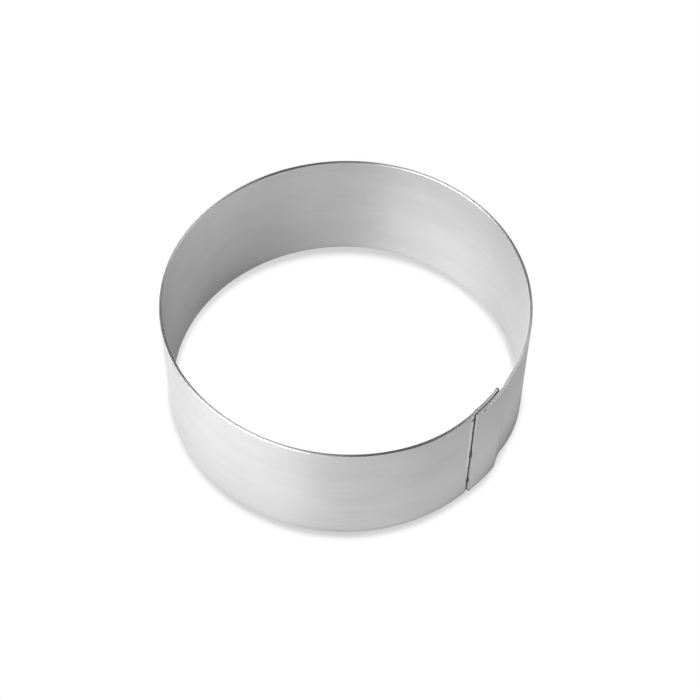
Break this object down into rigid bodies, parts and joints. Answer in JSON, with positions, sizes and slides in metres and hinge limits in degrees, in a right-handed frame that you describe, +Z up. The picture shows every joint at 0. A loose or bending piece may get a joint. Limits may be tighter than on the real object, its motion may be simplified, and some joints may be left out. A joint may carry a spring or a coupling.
{
  "type": "round pastry ring",
  "caption": "Open round pastry ring of rolled stainless sheet, with lapped ends joined by tack welds along the seam, for shaping and cutting dough, cakes and desserts.",
  "frame": {"origin": "centre of the ring on the surface that it stands on", "axes": "+Z up along the ring's axis, +X through the middle of the lap, +Y along the strip from its outer end"},
  "size_m": [0.08, 0.08, 0.03],
  "materials": {
    "brushed_sheet": "satin stainless sheet, brushed along the strip",
    "weld": "heat-darkened weld metal"
  },
  "bodies": {
    "root": {"ring_band": "brushed_sheet", "tack_weld_lower": "weld", "tack_weld_middle": "weld", "tack_weld_upper": "weld"}
  },
  "joints": []
}
